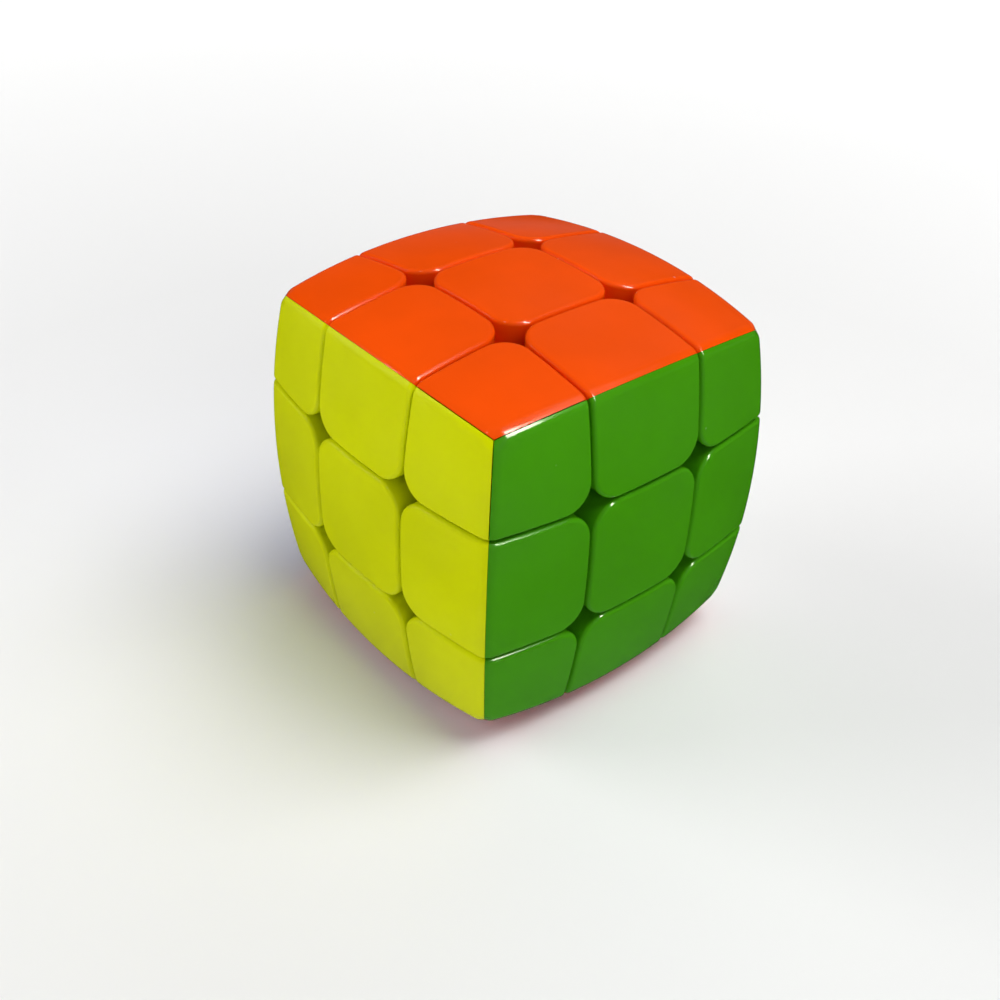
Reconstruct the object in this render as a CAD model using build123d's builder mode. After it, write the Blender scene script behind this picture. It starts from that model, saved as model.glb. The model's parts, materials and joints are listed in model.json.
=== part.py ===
from build123d import *
import os

os.makedirs("parts", exist_ok=True)

# ---- driving dimensions, millimetres -------------------------------------------------
crown = 28.5            # centre of the cube to the top of each dome
dome_radius = 125.0     # radius of the six spherical faces
cut = 9.75              # half the pitch of the cut planes, outer zone
gap = 0.3               # running clearance between two cubies
wall = 1.7              # wall of the hollow shells
rim = 0.65              # rounding where a facet meets a side wall
crest = 2.2             # rounding where two facets of one cubie meet
tip = 40.4              # sphere that blunts the eight outermost points
facet_corner = 4.2      # rounding of the facet corners at the small diamond openings
open_seam = 0.12        # slit between the shells of the one corner that is clipped loosely
corner_seam = 0.04      # slit between the shells of every other corner
edge_seam = 0.04        # slit between the two clipped shells of one edge

shell_outer = 19.5      # sphere under the outer zone
neck_top = 21.2         # how far the foot of a corner reaches into its shells
shell_middle = 15.5     # sphere under the foot zone
shell_inner = 11.5      # sphere under the inner foot zone
cut_middle = 6.2        # half the pitch of the cut planes, foot zone
cut_inner = 4.4         # half the pitch of the cut planes, inner foot zone

core_ball = 8.0
arm_radius = 3.0
arm_length = 10.9
shaft_radius = 1.2
shaft_start = 4.5
head_radius = 2.5
head_bottom = 18.9
head_top = 20.6
socket_radius = 1.25
washer_radius = 2.6
washer_thickness = 0.5
spring_radius = 1.9
spring_wire = 0.3
spring_turns = 5.5
bore_radius = 2.9
bore_floor = 13.2
cap_level = 23.0
cap_seam = 0.02

big = 40.0
half = gap / 2
near = cut + half       # where a cubie of the outer layer starts
low = cut - half        # where a cubie of the middle layer ends
dome_centre = crown - dome_radius


# ---- the core and its hardware --------------------------------------------------------
arm_planes = [
    Plane(origin=(0, 0, 0), x_dir=(1, 0, 0), z_dir=(0, 0, 1)),
    Plane(origin=(0, 0, 0), x_dir=(1, 0, 0), z_dir=(0, 0, -1)),
    Plane(origin=(0, 0, 0), x_dir=(1, 0, 0), z_dir=(0, -1, 0)),
    Plane(origin=(0, 0, 0), x_dir=(1, 0, 0), z_dir=(0, 1, 0)),
    Plane(origin=(0, 0, 0), x_dir=(0, 1, 0), z_dir=(-1, 0, 0)),
    Plane(origin=(0, 0, 0), x_dir=(0, 1, 0), z_dir=(1, 0, 0)),
]

with BuildPart() as core:
    Sphere(core_ball)
    for face_plane in arm_planes:
        with BuildSketch(face_plane):
            Circle(arm_radius)
        extrude(amount=arm_length)
    for face_plane in arm_planes:
        with BuildSketch(face_plane.offset(shaft_start - 0.5)):
            Circle(shaft_radius + 0.02)
        extrude(amount=arm_length, mode=Mode.SUBTRACT)
    arm_rims = core.edges().filter_by(GeomType.CIRCLE).filter_by(
        lambda e: abs(e.radius - arm_radius) < 0.01 and max(abs(v) for v in e.arc_center) > arm_length - 0.1
    )
    fillet(arm_rims, 0.4)
core.part.label = "core"
export_step(core.part, "parts/core.step")

with BuildPart() as tension_screws:
    for face_plane in arm_planes:
        with BuildSketch(face_plane.offset(shaft_start)):
            Circle(shaft_radius)
        extrude(amount=head_bottom - shaft_start)
        with BuildSketch(face_plane.offset(head_bottom)):
            Circle(head_radius)
        extrude(amount=head_top - head_bottom)
        with BuildSketch(face_plane.offset(head_top - 1.1)):
            RegularPolygon(socket_radius, 6)
        extrude(amount=2, mode=Mode.SUBTRACT)
    head_rims = tension_screws.edges().filter_by(GeomType.CIRCLE).filter_by(
        lambda e: abs(e.radius - head_radius) < 0.01 and max(abs(v) for v in e.arc_center) > head_top - 0.1
    )
    fillet(head_rims, 0.4)
tension_screws.part.label = "tension_screws"
export_step(tension_screws.part, "parts/tension_screws.step")

with BuildPart() as washers:
    for face_plane in arm_planes:
        with BuildSketch(face_plane.offset(head_bottom - washer_thickness - 0.05)):
            Circle(washer_radius)
            Circle(shaft_radius + 0.05, mode=Mode.SUBTRACT)
        extrude(amount=washer_thickness)
washers.part.label = "washers"
export_step(washers.part, "parts/washers.step")

spring_bottom = bore_floor + spring_wire + 0.1
spring_top = head_bottom - washer_thickness - 0.05 - spring_wire - 0.05
with BuildPart() as one_spring:
    with BuildLine() as coil:
        Helix(
            pitch=(spring_top - spring_bottom) / spring_turns,
            height=spring_top - spring_bottom,
            radius=spring_radius,
            center=(0, 0, spring_bottom),
        )
    with BuildSketch(Plane(origin=coil.line @ 0, z_dir=coil.line % 0)):
        Circle(spring_wire)
    sweep(path=coil.line, is_frenet=True)

spring_set = [face_plane.location * one_spring.part for face_plane in arm_planes]
with BuildPart() as springs:
    add(spring_set)
springs.part.label = "springs"
export_step(springs.part, "parts/springs.step")


# ---- one corner, at +X +Y +Z ----------------------------------------------------------
with BuildPart() as corner_cavity:
    with BuildSketch(Plane.XY.offset(near + wall)):
        with Locations((near + wall, near + wall)):
            Rectangle(big, big, align=(Align.MIN, Align.MIN))
    extrude(amount=big)
    inner_edges = [
        corner_cavity.edges().filter_by(axis).sort_by(lambda e: (e @ 0.5).X + (e @ 0.5).Y + (e @ 0.5).Z)[0]
        for axis in (Axis.X, Axis.Y, Axis.Z)
    ]
    fillet(inner_edges, facet_corner - wall)
    with Locations((0, 0, dome_centre)):
        Sphere(dome_radius - wall, mode=Mode.INTERSECT)
    with Locations((0, dome_centre, 0)):
        Sphere(dome_radius - wall, mode=Mode.INTERSECT)
    with Locations((dome_centre, 0, 0)):
        Sphere(dome_radius - wall, mode=Mode.INTERSECT)
    Sphere(shell_outer + half + wall, mode=Mode.SUBTRACT)

with BuildPart() as corner_hull:
    with BuildSketch(Plane.XY.offset(near)):
        with Locations((near, near)):
            Rectangle(big, big, align=(Align.MIN, Align.MIN))
    extrude(amount=big)
    inner_edges = [
        corner_hull.edges().filter_by(axis).sort_by(lambda e: (e @ 0.5).X + (e @ 0.5).Y + (e @ 0.5).Z)[0]
        for axis in (Axis.X, Axis.Y, Axis.Z)
    ]
    fillet(inner_edges, facet_corner)
    with Locations((0, 0, dome_centre)):
        Sphere(dome_radius, mode=Mode.INTERSECT)
    with Locations((0, dome_centre, 0)):
        Sphere(dome_radius, mode=Mode.INTERSECT)
    with Locations((dome_centre, 0, 0)):
        Sphere(dome_radius, mode=Mode.INTERSECT)
    Sphere(tip, mode=Mode.INTERSECT)
    crest_edges = corner_hull.edges().filter_by(lambda e: sorted(tuple(e @ 0.5))[1] > 22)
    fillet(crest_edges, crest)
    facets = corner_hull.faces().filter_by(GeomType.SPHERE).filter_by(lambda f: f.area > 100)
    wall_edges = facets.edges().filter_by(lambda e: min(tuple(e @ 0.5)) < near + facet_corner and max(tuple(e @ 0.5)) > 22)
    fillet(wall_edges, rim)
    add(corner_cavity.part, mode=Mode.SUBTRACT)

with BuildPart() as corner_foot:
    with BuildSketch(Plane.XY.offset(cut_middle + half)):
        with Locations((cut_middle + half, cut_middle + half)):
            Rectangle(big, big, align=(Align.MIN, Align.MIN))
    extrude(amount=big)
    Sphere(shell_outer - half, mode=Mode.INTERSECT)
    Sphere(shell_middle + half, mode=Mode.SUBTRACT)

with BuildPart() as corner_neck:
    with BuildSketch(Plane.XY.offset(near)):
        with Locations((near, near)):
            Rectangle(big, big, align=(Align.MIN, Align.MIN))
    extrude(amount=big)
    Sphere(neck_top, mode=Mode.INTERSECT)
    Sphere(shell_outer - 1, mode=Mode.SUBTRACT)


def corner_shells(slit):
    """The three coloured shells of one corner (+X, +Y and +Z), with this slit between them."""
    shift = slit / 2 * 2**0.5
    with BuildPart() as z_shell:
        add(corner_hull.part)
        Sphere(neck_top - 0.5, mode=Mode.SUBTRACT)
        split(bisect_by=Plane(origin=(0, 0, shift), x_dir=(0, 1, 0), z_dir=(-1, 0, 1)), keep=Keep.TOP)
        split(bisect_by=Plane(origin=(0, 0, shift), x_dir=(1, 0, 0), z_dir=(0, -1, 1)), keep=Keep.TOP)
        add(corner_neck.part)
        add(corner_foot.part)
    with BuildPart() as x_shell:
        add(corner_hull.part)
        Sphere(neck_top + 0.05, mode=Mode.SUBTRACT)
        split(bisect_by=Plane(origin=(shift, 0, 0), x_dir=(0, 0, 1), z_dir=(1, -1, 0)), keep=Keep.TOP)
        split(bisect_by=Plane(origin=(shift, 0, 0), x_dir=(0, 1, 0), z_dir=(1, 0, -1)), keep=Keep.TOP)
    with BuildPart() as y_shell:
        add(corner_hull.part)
        Sphere(neck_top + 0.05, mode=Mode.SUBTRACT)
        split(bisect_by=Plane(origin=(0, shift, 0), x_dir=(0, 0, 1), z_dir=(-1, 1, 0)), keep=Keep.TOP)
        split(bisect_by=Plane(origin=(0, shift, 0), x_dir=(1, 0, 0), z_dir=(0, 1, -1)), keep=Keep.TOP)
    return {"x": x_shell.part, "y": y_shell.part, "z": z_shell.part}


tight_corner = corner_shells(corner_seam)
loose_corner = corner_shells(open_seam)


# ---- one edge, at +Y +Z ---------------------------------------------------------------
with BuildPart() as edge_cavity:
    with BuildSketch(Plane.XY.offset(near + wall)):
        with Locations((0, near + wall)):
            Rectangle(2 * (low - wall), big, align=(Align.CENTER, Align.MIN))
    extrude(amount=big)
    inner_edges = (
        edge_cavity.edges().filter_by(Axis.Z).group_by(Axis.Y)[0]
        + edge_cavity.edges().filter_by(Axis.Y).group_by(Axis.Z)[0]
        + edge_cavity.edges().filter_by(Axis.X).sort_by(lambda e: (e @ 0.5).Y + (e @ 0.5).Z)[:1]
    )
    fillet(inner_edges, facet_corner - wall)
    with Locations((0, 0, dome_centre)):
        Sphere(dome_radius - wall, mode=Mode.INTERSECT)
    with Locations((0, dome_centre, 0)):
        Sphere(dome_radius - wall, mode=Mode.INTERSECT)
    Sphere(shell_outer + half + wall, mode=Mode.SUBTRACT)

with BuildPart() as edge_hull:
    with BuildSketch(Plane.XY.offset(near)):
        with Locations((0, near)):
            Rectangle(2 * low, big, align=(Align.CENTER, Align.MIN))
    extrude(amount=big)
    inner_edges = (
        edge_hull.edges().filter_by(Axis.Z).group_by(Axis.Y)[0]
        + edge_hull.edges().filter_by(Axis.Y).group_by(Axis.Z)[0]
        + edge_hull.edges().filter_by(Axis.X).sort_by(lambda e: (e @ 0.5).Y + (e @ 0.5).Z)[:1]
    )
    fillet(inner_edges, facet_corner)
    with Locations((0, 0, dome_centre)):
        Sphere(dome_radius, mode=Mode.INTERSECT)
    with Locations((0, dome_centre, 0)):
        Sphere(dome_radius, mode=Mode.INTERSECT)
    crest_edges = edge_hull.edges().filter_by(lambda e: min((e @ 0.5).Y, (e @ 0.5).Z) > 22)
    fillet(crest_edges, crest)
    facets = edge_hull.faces().filter_by(GeomType.SPHERE).sort_by(SortBy.AREA)[-2:]
    wall_edges = facets.edges().filter_by(lambda e: abs((e @ 0.5).X) > 0.1 or min((e @ 0.5).Y, (e @ 0.5).Z) < 22)
    fillet(wall_edges, rim)
    Sphere(shell_outer + half, mode=Mode.SUBTRACT)
    add(edge_cavity.part, mode=Mode.SUBTRACT)

with BuildPart() as edge_neck:
    with BuildSketch(Plane.XY.offset(near)):
        with Locations((0, near)):
            Rectangle(2 * (cut_middle - half), big, align=(Align.CENTER, Align.MIN))
    extrude(amount=big)
    Sphere(shell_outer + half - 0.05, mode=Mode.INTERSECT)
    Sphere(shell_outer - 1, mode=Mode.SUBTRACT)

with BuildPart() as edge_bridge:
    with BuildSketch(Plane.XY.offset(near)):
        with Locations((0, near)):
            Rectangle(2 * (cut_middle - half), big, align=(Align.CENTER, Align.MIN))
    extrude(amount=big)
    Sphere(shell_outer + half + 0.9, mode=Mode.INTERSECT)
    Sphere(shell_outer - 1, mode=Mode.SUBTRACT)
    split(bisect_by=Plane(origin=(0, 0, 0.3), x_dir=(1, 0, 0), z_dir=(0, -1, 1)), keep=Keep.TOP)

with BuildPart() as edge_middle_foot:
    with BuildSketch(Plane.XY.offset(cut_middle + half)):
        with Locations((0, cut_middle + half)):
            Rectangle(2 * (cut_middle - half), big, align=(Align.CENTER, Align.MIN))
    extrude(amount=big)
    Sphere(shell_outer - half, mode=Mode.INTERSECT)
    Sphere(shell_middle + half, mode=Mode.SUBTRACT)

with BuildPart() as edge_inner_neck:
    with BuildSketch(Plane.XY.offset(cut_middle + half)):
        with Locations((0, cut_middle + half)):
            Rectangle(2 * (cut_inner - half), big, align=(Align.CENTER, Align.MIN))
    extrude(amount=big)
    Sphere(shell_middle + 1, mode=Mode.INTERSECT)
    Sphere(shell_middle - 1, mode=Mode.SUBTRACT)

with BuildPart() as edge_inner_foot:
    with BuildSketch(Plane.XY.offset(cut_inner + half)):
        with Locations((0, cut_inner + half)):
            Rectangle(2 * (cut_inner - half), big, align=(Align.CENTER, Align.MIN))
    extrude(amount=big)
    Sphere(shell_middle - half, mode=Mode.INTERSECT)
    Sphere(shell_inner + half, mode=Mode.SUBTRACT)

with BuildPart() as edge_z_shell:
    add(edge_hull.part)
    split(bisect_by=Plane(origin=(0, 0, edge_seam / 2 * 2**0.5), x_dir=(1, 0, 0), z_dir=(0, -1, 1)), keep=Keep.TOP)
    add(edge_bridge.part)
    add(edge_neck.part)
    add(edge_middle_foot.part)
    add(edge_inner_neck.part)
    add(edge_inner_foot.part)

with BuildPart() as edge_y_shell:
    add(edge_hull.part)
    split(bisect_by=Plane(origin=(0, edge_seam / 2 * 2**0.5, 0), x_dir=(1, 0, 0), z_dir=(0, 1, -1)), keep=Keep.TOP)


# ---- one centre, at +Z ----------------------------------------------------------------
with BuildPart() as centre_cavity:
    with BuildSketch():
        RectangleRounded(2 * (low - wall), 2 * (low - wall), facet_corner - wall)
    extrude(amount=big)
    with Locations((0, 0, dome_centre)):
        Sphere(dome_radius - wall, rotation=(0, 90, 0), mode=Mode.INTERSECT)
    Sphere(shell_outer + half + wall, rotation=(0, 90, 0), mode=Mode.SUBTRACT)

with BuildPart() as centre_hull:
    with BuildSketch():
        RectangleRounded(2 * low, 2 * low, facet_corner)
    extrude(amount=big)
    with Locations((0, 0, dome_centre)):
        Sphere(dome_radius, rotation=(0, 90, 0), mode=Mode.INTERSECT)
    facets = centre_hull.faces().filter_by(GeomType.SPHERE).sort_by(SortBy.AREA)[-1:]
    fillet(facets.edges(), rim)
    Sphere(shell_outer + half, rotation=(0, 90, 0), mode=Mode.SUBTRACT)
    add(centre_cavity.part, mode=Mode.SUBTRACT)

with BuildPart() as centre_cap:
    add(centre_hull.part)
    split(bisect_by=Plane.XY.offset(cap_level + cap_seam), keep=Keep.TOP)

with BuildPart() as centre_middle_foot:
    with BuildSketch():
        Rectangle(2 * (cut_middle - half), 2 * (cut_middle - half))
    extrude(amount=big)
    Sphere(shell_outer - half, rotation=(0, 90, 0), mode=Mode.INTERSECT)
    Sphere(shell_middle + half, rotation=(0, 90, 0), mode=Mode.SUBTRACT)

with BuildPart() as centre_neck:
    with BuildSketch():
        Rectangle(2 * (cut_middle - half), 2 * (cut_middle - half))
    extrude(amount=big)
    Sphere(shell_outer + half + 0.9, rotation=(0, 90, 0), mode=Mode.INTERSECT)
    Sphere(shell_outer - 1, rotation=(0, 90, 0), mode=Mode.SUBTRACT)

with BuildPart() as centre_inner_foot:
    with BuildSketch():
        Rectangle(2 * (cut_inner - half), 2 * (cut_inner - half))
    extrude(amount=big)
    Sphere(shell_middle - half, rotation=(0, 90, 0), mode=Mode.INTERSECT)
    Sphere(shell_inner + half, rotation=(0, 90, 0), mode=Mode.SUBTRACT)

with BuildPart() as centre_inner_neck:
    with BuildSketch():
        Rectangle(2 * (cut_inner - half), 2 * (cut_inner - half))
    extrude(amount=big)
    Sphere(shell_middle + 1, rotation=(0, 90, 0), mode=Mode.INTERSECT)
    Sphere(shell_middle - 1, rotation=(0, 90, 0), mode=Mode.SUBTRACT)

with BuildPart() as centre_stem:
    add(centre_hull.part)
    split(bisect_by=Plane.XY.offset(cap_level), keep=Keep.BOTTOM)
    add(centre_neck.part)
    add(centre_middle_foot.part)
    add(centre_inner_neck.part)
    add(centre_inner_foot.part)
    with BuildSketch(Plane.XY.offset(bore_floor)):
        Circle(bore_radius)
    extrude(amount=cap_level - bore_floor, mode=Mode.SUBTRACT)
    with BuildSketch():
        Circle(shaft_radius + 0.25)
    extrude(amount=cap_level, mode=Mode.SUBTRACT)


# ---- the coloured cubies, each turned into its place from the three patterns ------------
faces = {
    "top": ("orange", (0, 0, 1)),
    "bottom": ("red", (0, 0, -1)),
    "front": ("yellow", (0, -1, 0)),
    "back": ("white", (0, 1, 0)),
    "left": ("blue", (-1, 0, 0)),
    "right": ("green", (1, 0, 0)),
}


def turned(shape, y_side, z_side):
    """Turns a pattern so that its +Y and +Z faces become the two named faces."""
    y_dir = Vector(*faces[y_side][1])
    z_dir = Vector(*faces[z_side][1])
    return Plane(origin=(0, 0, 0), x_dir=y_dir.cross(z_dir), z_dir=z_dir).location * shape


# name of the face under the pattern's +Y, +Z and +X shells
corner_places = [
    ("top_back_right", "back", "top", "right"),
    ("top_back_left", "left", "top", "back"),
    ("top_front_left", "front", "top", "left"),
    ("top_front_right", "right", "top", "front"),
    ("bottom_front_right", "front", "bottom", "right"),
    ("bottom_back_right", "right", "bottom", "back"),
    ("bottom_back_left", "back", "bottom", "left"),
    ("bottom_front_left", "left", "bottom", "front"),
]
for place, y_side, z_side, x_side in corner_places:
    shells = loose_corner if place == "top_front_right" else tight_corner
    for side, pattern in ((z_side, shells["z"]), (y_side, shells["y"]), (x_side, shells["x"])):
        placed = turned(pattern, y_side, z_side)
        with BuildPart() as corner_shell:
            add(placed)
        corner_shell.part.label = f"{place}_corner_{faces[side][0]}"
        export_step(corner_shell.part, f"parts/{place}_corner_{faces[side][0]}.step")

# name of the face under the pattern's +Y and +Z shells
edge_places = [
    ("top_front", "front", "top"),
    ("top_back", "back", "top"),
    ("top_left", "left", "top"),
    ("top_right", "right", "top"),
    ("bottom_front", "front", "bottom"),
    ("bottom_back", "back", "bottom"),
    ("bottom_left", "left", "bottom"),
    ("bottom_right", "right", "bottom"),
    ("front_left", "left", "front"),
    ("front_right", "right", "front"),
    ("back_left", "left", "back"),
    ("back_right", "right", "back"),
]
for place, y_side, z_side in edge_places:
    for side, pattern in ((z_side, edge_z_shell), (y_side, edge_y_shell)):
        placed = turned(pattern.part, y_side, z_side)
        with BuildPart() as edge_shell:
            add(placed)
        edge_shell.part.label = f"{place}_edge_{faces[side][0]}"
        export_step(edge_shell.part, f"parts/{place}_edge_{faces[side][0]}.step")

centre_places = [("top", "back"), ("bottom", "front"), ("front", "top"), ("back", "bottom"), ("left", "back"), ("right", "front")]
for side, y_side in centre_places:
    placed = [turned(centre_stem.part, y_side, side), turned(centre_cap.part, y_side, side)]
    with BuildPart() as centre_piece:
        add(placed, clean=False)
    centre_piece.part.label = f"{side}_centre"
    export_step(centre_piece.part, f"parts/{side}_centre.step")
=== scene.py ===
import json
import math

import bpy
from mathutils import Matrix, Vector

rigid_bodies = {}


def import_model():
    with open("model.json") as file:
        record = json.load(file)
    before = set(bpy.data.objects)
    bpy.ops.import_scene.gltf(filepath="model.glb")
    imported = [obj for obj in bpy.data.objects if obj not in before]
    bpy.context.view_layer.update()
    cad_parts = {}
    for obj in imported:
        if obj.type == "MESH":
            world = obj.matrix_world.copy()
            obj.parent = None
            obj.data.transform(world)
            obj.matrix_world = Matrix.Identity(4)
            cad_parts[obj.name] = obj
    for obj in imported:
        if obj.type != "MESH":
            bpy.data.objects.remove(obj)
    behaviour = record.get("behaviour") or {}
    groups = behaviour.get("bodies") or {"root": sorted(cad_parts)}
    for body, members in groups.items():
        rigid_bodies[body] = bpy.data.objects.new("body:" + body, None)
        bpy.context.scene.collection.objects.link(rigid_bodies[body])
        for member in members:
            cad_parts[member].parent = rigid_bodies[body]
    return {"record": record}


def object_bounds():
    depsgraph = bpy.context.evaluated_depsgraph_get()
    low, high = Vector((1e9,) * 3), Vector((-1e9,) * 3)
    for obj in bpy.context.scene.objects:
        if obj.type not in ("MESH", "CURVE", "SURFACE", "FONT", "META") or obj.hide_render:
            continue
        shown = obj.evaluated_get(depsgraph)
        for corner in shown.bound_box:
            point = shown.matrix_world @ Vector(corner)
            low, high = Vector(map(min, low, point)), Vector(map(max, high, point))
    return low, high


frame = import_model()
CAD_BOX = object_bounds()
scene = bpy.context.scene

# ---- colours, scene linear ------------------------------------------------------------
PLASTIC = {
    "orange": (0.92, 0.080, 0.0006),
    "red": (0.62, 0.010, 0.006),
    "yellow": (0.71, 0.77, 0.0006),
    "white": (0.80, 0.80, 0.77),
    "blue": (0.006, 0.055, 0.40),
    "green": (0.054, 0.295, 0.0025),
}


def node(tree, kind, where, **values):
    n = tree.nodes.new(kind)
    n.location = where
    for k, v in values.items():
        if hasattr(n, k):
            setattr(n, k, v)
        else:
            n.inputs[k].default_value = v
    return n


def ramp(tree, where, stops):
    n = tree.nodes.new("ShaderNodeValToRGB")
    n.location = where
    e = n.color_ramp.elements
    while len(e) < len(stops):
        e.new(0.5)
    for el, (pos, v) in zip(e, stops):
        el.position = pos
        el.color = (*v, 1) if isinstance(v, tuple) else (v, v, v, 1)
    return n


def moulded_plastic(name, colour, seed):
    """Glossy moulded plastic: faint pigment clouds, orange-peel, handling haze, hairline scuffs and a few pale specks."""
    m = bpy.data.materials.new(name)
    m.use_nodes = True
    t = m.node_tree
    t.nodes.clear()
    link = t.links.new
    out = node(t, "ShaderNodeOutputMaterial", (1200, 0))
    bsdf = node(t, "ShaderNodeBsdfPrincipled", (900, 0))
    link(bsdf.outputs[0], out.inputs[0])
    bsdf.inputs["IOR"].default_value = 1.5
    bsdf.inputs["Specular IOR Level"].default_value = 0.5
    coord = node(t, "ShaderNodeTexCoord", (-1400, 0))
    place = node(t, "ShaderNodeMapping", (-1200, 0))
    place.inputs["Location"].default_value = (0.013 * seed, 0.029 * seed, 0.017 * seed)
    link(coord.outputs["Object"], place.inputs[0])

    # pigment clouds
    clouds = node(t, "ShaderNodeTexNoise", (-950, 350))
    clouds.inputs["Scale"].default_value = 55
    clouds.inputs["Detail"].default_value = 3
    link(place.outputs[0], clouds.inputs["Vector"])
    deep = tuple(c * 0.93 for c in colour)
    lift = tuple(min(1.0, c * 1.03) for c in colour)
    tint = ramp(t, (-700, 350), [(0.35, deep), (0.65, lift)])
    link(clouds.outputs[0], tint.inputs[0])

    # pale specks and small scuffs, few and far between
    cells = node(t, "ShaderNodeTexVoronoi", (-950, 80))
    cells.inputs["Scale"].default_value = 210
    cells.inputs["Randomness"].default_value = 1
    link(place.outputs[0], cells.inputs["Vector"])
    dot = ramp(t, (-700, 80), [(0.0, 1.0), (0.055, 0.0)])
    link(cells.outputs["Distance"], dot.inputs[0])
    few = node(t, "ShaderNodeTexNoise", (-950, -150))
    few.inputs["Scale"].default_value = 130
    few.inputs["Detail"].default_value = 1
    link(place.outputs[0], few.inputs["Vector"])
    gate = ramp(t, (-700, -150), [(0.56, 0.0), (0.62, 1.0)])
    link(few.outputs[0], gate.inputs[0])
    speck = node(t, "ShaderNodeMath", (-420, 0), operation="MULTIPLY")
    link(dot.outputs[0], speck.inputs[0])
    link(gate.outputs[0], speck.inputs[1])
    speck_amount = node(t, "ShaderNodeMath", (-250, 0), operation="MULTIPLY")
    speck_amount.inputs[1].default_value = 0.35
    link(speck.outputs[0], speck_amount.inputs[0])
    paint = node(t, "ShaderNodeMix", (0, 300), data_type="RGBA")
    paint.inputs[7].default_value = (0.80, 0.74, 0.66, 1)
    link(speck_amount.outputs[0], paint.inputs[0])
    link(tint.outputs[0], paint.inputs[6])
    link(paint.outputs[2], bsdf.inputs["Base Color"])

    # handling haze and hairline scuffs in the gloss
    haze = node(t, "ShaderNodeTexNoise", (-950, -400))
    haze.inputs["Scale"].default_value = 90
    haze.inputs["Detail"].default_value = 5
    link(place.outputs[0], haze.inputs["Vector"])
    haze_r = ramp(t, (-700, -400), [(0.3, 0.10), (0.75, 0.20)])
    link(haze.outputs[0], haze_r.inputs[0])
    stretch = node(t, "ShaderNodeMapping", (-1200, -650))
    stretch.inputs["Rotation"].default_value = (0.4, 0.7, 0.9 + seed)
    stretch.inputs["Scale"].default_value = (40, 1500, 1500)
    link(coord.outputs["Object"], stretch.inputs[0])
    hair = node(t, "ShaderNodeTexNoise", (-950, -650))
    hair.inputs["Scale"].default_value = 1
    hair.inputs["Detail"].default_value = 2
    link(stretch.outputs[0], hair.inputs["Vector"])
    hair_r = ramp(t, (-700, -650), [(0.68, 0.0), (0.78, 0.07)])
    link(hair.outputs[0], hair_r.inputs[0])
    rough = node(t, "ShaderNodeMath", (-420, -450), operation="ADD")
    link(haze_r.outputs[0], rough.inputs[0])
    link(hair_r.outputs[0], rough.inputs[1])
    rough2 = node(t, "ShaderNodeMath", (-200, -450), operation="MULTIPLY_ADD")
    rough2.inputs[1].default_value = 0.3
    link(speck_amount.outputs[0], rough2.inputs[0])
    link(rough.outputs[0], rough2.inputs[2])
    link(rough2.outputs[0], bsdf.inputs["Roughness"])

    # orange-peel of the mould and the hairlines as relief
    peel = node(t, "ShaderNodeTexNoise", (-950, -900))
    peel.inputs["Scale"].default_value = 260
    peel.inputs["Detail"].default_value = 2
    link(place.outputs[0], peel.inputs["Vector"])
    grain = node(t, "ShaderNodeTexNoise", (-950, -1120))
    grain.inputs["Scale"].default_value = 2600
    grain.inputs["Detail"].default_value = 2
    link(place.outputs[0], grain.inputs["Vector"])
    b1 = node(t, "ShaderNodeBump", (200, -700))
    b1.inputs["Strength"].default_value = 0.10
    b1.inputs["Distance"].default_value = 0.00004
    link(peel.outputs[0], b1.inputs["Height"])
    b2 = node(t, "ShaderNodeBump", (420, -800))
    b2.inputs["Strength"].default_value = 0.06
    b2.inputs["Distance"].default_value = 0.000008
    link(grain.outputs[0], b2.inputs["Height"])
    link(b1.outputs[0], b2.inputs["Normal"])
    link(b2.outputs[0], bsdf.inputs["Normal"])
    return m


def steel(name, colour, rough_lo, rough_hi):
    m = bpy.data.materials.new(name)
    m.use_nodes = True
    t = m.node_tree
    t.nodes.clear()
    link = t.links.new
    out = node(t, "ShaderNodeOutputMaterial", (800, 0))
    bsdf = node(t, "ShaderNodeBsdfPrincipled", (500, 0))
    link(bsdf.outputs[0], out.inputs[0])
    bsdf.inputs["Metallic"].default_value = 1
    coord = node(t, "ShaderNodeTexCoord", (-900, 0))
    grain = node(t, "ShaderNodeTexNoise", (-650, 0))
    grain.inputs["Scale"].default_value = 1800
    grain.inputs["Detail"].default_value = 4
    link(coord.outputs["Object"], grain.inputs["Vector"])
    tone = ramp(t, (-400, 150), [(0.3, tuple(c * 0.8 for c in colour)), (0.7, colour)])
    link(grain.outputs[0], tone.inputs[0])
    link(tone.outputs[0], bsdf.inputs["Base Color"])
    rr = ramp(t, (-400, -150), [(0.3, rough_lo), (0.7, rough_hi)])
    link(grain.outputs[0], rr.inputs[0])
    link(rr.outputs[0], bsdf.inputs["Roughness"])
    b = node(t, "ShaderNodeBump", (200, -250))
    b.inputs["Strength"].default_value = 0.2
    b.inputs["Distance"].default_value = 0.00001
    link(grain.outputs[0], b.inputs["Height"])
    link(b.outputs[0], bsdf.inputs["Normal"])
    return m


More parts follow.
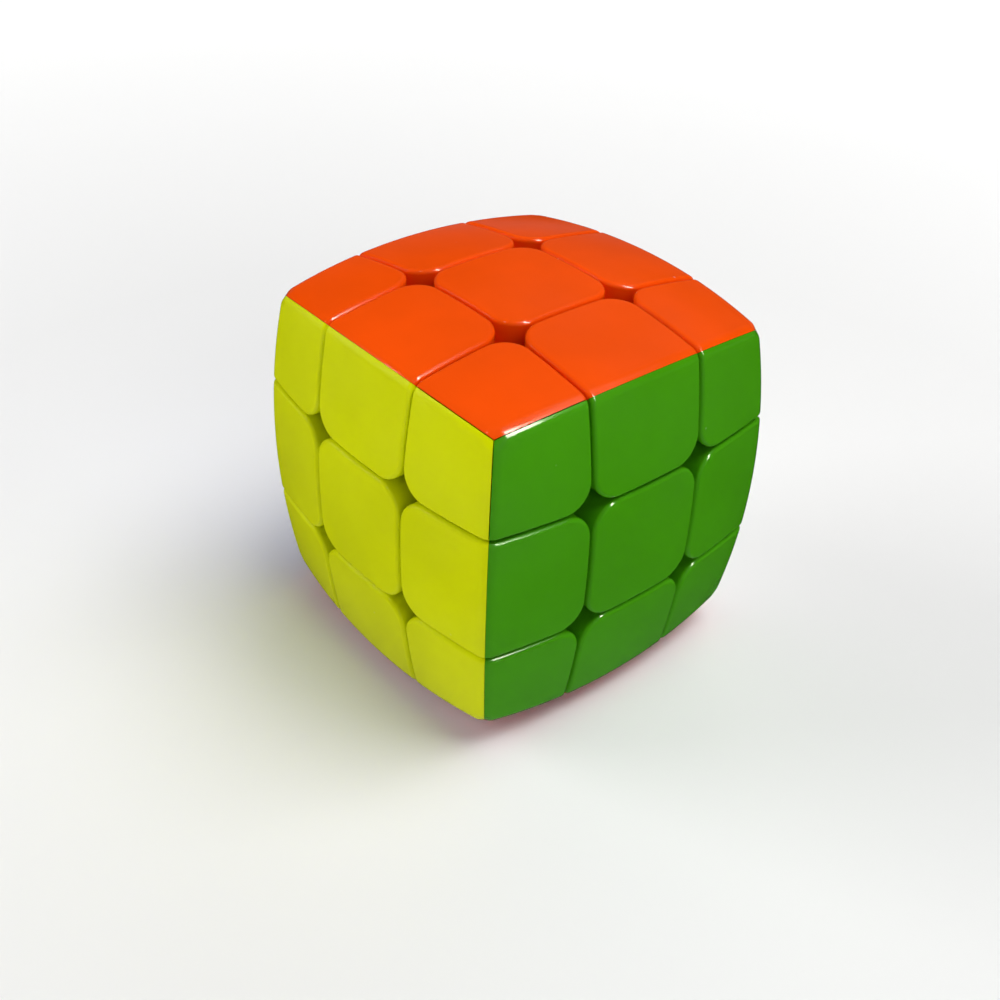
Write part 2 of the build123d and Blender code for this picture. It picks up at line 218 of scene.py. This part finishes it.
def black_plastic():
    m = bpy.data.materials.new("core_plastic_look")
    m.use_nodes = True
    t = m.node_tree
    t.nodes.clear()
    link = t.links.new
    out = node(t, "ShaderNodeOutputMaterial", (800, 0))
    bsdf = node(t, "ShaderNodeBsdfPrincipled", (500, 0))
    link(bsdf.outputs[0], out.inputs[0])
    coord = node(t, "ShaderNodeTexCoord", (-900, 0))
    grain = node(t, "ShaderNodeTexNoise", (-650, 0))
    grain.inputs["Scale"].default_value = 1100
    grain.inputs["Detail"].default_value = 5
    link(coord.outputs["Object"], grain.inputs["Vector"])
    tone = ramp(t, (-400, 150), [(0.3, (0.012, 0.012, 0.013)), (0.7, (0.022, 0.022, 0.024))])
    link(grain.outputs[0], tone.inputs[0])
    link(tone.outputs[0], bsdf.inputs["Base Color"])
    rr = ramp(t, (-400, -150), [(0.3, 0.45), (0.7, 0.62)])
    link(grain.outputs[0], rr.inputs[0])
    link(rr.outputs[0], bsdf.inputs["Roughness"])
    b = node(t, "ShaderNodeBump", (200, -250))
    b.inputs["Strength"].default_value = 0.4
    b.inputs["Distance"].default_value = 0.00003
    link(grain.outputs[0], b.inputs["Height"])
    link(b.outputs[0], bsdf.inputs["Normal"])
    return m


looks = {c + "_plastic": moulded_plastic(c + "_plastic_look", rgb, i + 1) for i, (c, rgb) in enumerate(PLASTIC.items())}
looks["core_plastic"] = black_plastic()
looks["screw_steel"] = steel("screw_steel_look", (0.58, 0.58, 0.60), 0.24, 0.38)
looks["spring_steel"] = steel("spring_steel_look", (0.48, 0.48, 0.50), 0.20, 0.32)
looks["washer_steel"] = steel("washer_steel_look", (0.62, 0.61, 0.60), 0.28, 0.42)

for row in frame["record"]["subparts"]:
    o = bpy.data.objects[row["node"]]
    for s in o.material_slots:
        s.material = looks[row["material_slot"]]

# ---- studio ---------------------------------------------------------------------------
floor_z = CAD_BOX[0][2]
bpy.ops.mesh.primitive_grid_add(x_subdivisions=8, y_subdivisions=8, size=8, location=(0, 0, floor_z - 0.00002))
floor = bpy.context.object
floor.name = "studio_floor"
fm = bpy.data.materials.new("studio_floor_look")
fm.use_nodes = True
ft = fm.node_tree
fb = ft.nodes["Principled BSDF"]
fb.inputs["Specular IOR Level"].default_value = 0.1
fn = node(ft, "ShaderNodeTexNoise", (-600, 0))
fn.inputs["Scale"].default_value = 6
fr = ramp(ft, (-350, 0), [(0.3, (0.84, 0.84, 0.835)), (0.7, (0.86, 0.86, 0.855))])
ft.links.new(fn.outputs[0], fr.inputs[0])
ft.links.new(fr.outputs[0], fb.inputs["Base Color"])
frr = ramp(ft, (-350, -250), [(0.3, 0.75), (0.7, 0.85)])
ft.links.new(fn.outputs[0], frr.inputs[0])
ft.links.new(frr.outputs[0], fb.inputs["Roughness"])
# the sweep of the studio: the floor is lit evenly where the softboxes no longer reach it
fc = node(ft, "ShaderNodeTexCoord", (-1000, -500))
fl = node(ft, "ShaderNodeVectorMath", (-800, -500), operation="LENGTH")
fd = node(ft, "ShaderNodeMapRange", (-600, -500))
fd.inputs["From Min"].default_value = 0.13
fd.inputs["From Max"].default_value = 1.30
fd.inputs["To Min"].default_value = 0.0
fd.inputs["To Max"].default_value = 1.0
ft.links.new(fc.outputs["Object"], fl.inputs[0])
ft.links.new(fl.outputs["Value"], fd.inputs["Value"])
ft.links.new(fd.outputs[0], fb.inputs["Emission Strength"])
fb.inputs["Emission Color"].default_value = (1, 1, 1, 1)
floor.data.materials.append(fm)
floor.visible_glossy = False

bpy.ops.mesh.primitive_cylinder_add(vertices=96, radius=3.9, depth=6.0, end_fill_type="NOTHING", location=(0, 0, floor_z + 2.9))
sweep = bpy.context.object
sweep.name = "studio_sweep"
sm = bpy.data.materials.new("studio_sweep_look")
sm.use_nodes = True
sb = sm.node_tree.nodes["Principled BSDF"]
sb.inputs["Base Color"].default_value = (0, 0, 0, 1)
sb.inputs["Specular IOR Level"].default_value = 0
sb.inputs["Emission Color"].default_value = (1, 1, 1, 1)
sb.inputs["Emission Strength"].default_value = 1.0
sweep.data.materials.append(sm)
sweep.visible_glossy = False
sweep.visible_diffuse = False
sweep.visible_shadow = False

world = bpy.data.worlds.new("studio_world")
world.use_nodes = True
wt = world.node_tree
bg = wt.nodes["Background"]
wc = node(wt, "ShaderNodeTexCoord", (-900, 0))
ws = node(wt, "ShaderNodeSeparateXYZ", (-700, 0))
wm = node(wt, "ShaderNodeMath", (-500, 0), operation="MULTIPLY_ADD")
wm.inputs[1].default_value = 0.5
wm.inputs[2].default_value = 0.5
wr = ramp(wt, (-300, 0), [(0.0, 0.20), (0.09, 0.12), (0.17, 0.02), (0.49, 0.004), (0.50, 0.20), (0.56, 0.06), (0.66, 0.015), (1.0, 0.08)])
wt.links.new(wc.outputs["Generated"], ws.inputs[0])
wt.links.new(ws.outputs[2], wm.inputs[0])
wt.links.new(wm.outputs[0], wr.inputs[0])
wt.links.new(wr.outputs[0], bg.inputs[0])
bg.inputs[1].default_value = 0.8
scene.world = world


def softbox(name, direction, distance, size, watts, size_y=None):
    d = Vector(direction).normalized()
    light = bpy.data.lights.new(name, "AREA")
    light.shape = "RECTANGLE"
    light.size = size
    light.size_y = size_y or size
    light.energy = watts
    o = bpy.data.objects.new(name, light)
    scene.collection.objects.link(o)
    o.matrix_world = Matrix.Translation(d * distance) @ d.to_track_quat("Z", "Y").to_matrix().to_4x4()
    return o


# broad soft light for the colour of the plastic, and small lights for the glints on its rims
for name, direction, distance, size, watts in (
    ("overhead", (0.30, 0.35, 1), 1.80, 1.2, 28.5),
    ("left_front", (-0.72, -0.66, 0.36), 1.80, 1.1, 18.0),
    ("front_right", (0.85, -0.20, 0.35), 1.80, 1.1, 9.0),
    ("behind", (-0.5, 0.8, 0.5), 1.80, 1.1, 5.0),
):
    softbox(name, direction, distance, size, watts).visible_glossy = False
# the glints: a warm strip mirrored by the rounded seam between the top and right facets, and two small lamps
for name, direction, size, size_y, watts in (
    ("glint_strip", (0.642, 0.135, 0.735), 0.080, 0.42, 3.9),
    ("glint_front", (0.02, -0.52, 0.85), 0.030, 0.03, 0.10),
    ("glint_left", (-0.60, -0.50, 0.62), 0.030, 0.03, 0.03),
):
    lamp = softbox(name, direction, 0.60, size, watts, size_y)
    lamp.data.color = (1.0, 0.96, 0.84)
    lamp.visible_diffuse = False

# ---- camera ---------------------------------------------------------------------------
AZ, EL, ROLL, DIST, TX, TY, F = 49.347, 35.704, 2.216, 192.397, 1.788, 7.25, 1279.561
a, e, r = math.radians(AZ), math.radians(EL), math.radians(ROLL)
back = Vector((math.sin(a) * math.cos(e), -math.cos(a) * math.cos(e), math.sin(e)))
right = Vector((0, 0, 1)).cross(back).normalized()
up = back.cross(right)
right, up = right * math.cos(r) + up * math.sin(r), up * math.cos(r) - right * math.sin(r)
eye = (right * -TX + up * -TY + back * DIST) / 1000
cam = bpy.data.objects.new("camera", bpy.data.cameras.new("camera"))
cam.data.sensor_width = 36
cam.data.lens = F * 36 / 1000
cam.data.clip_start = 0.01
scene.collection.objects.link(cam)
cam.matrix_world = Matrix((
    (right.x, up.x, back.x, eye.x),
    (right.y, up.y, back.y, eye.y),
    (right.z, up.z, back.z, eye.z),
    (0, 0, 0, 1),
))
scene.camera = cam
scene.view_settings.view_transform = "Standard"
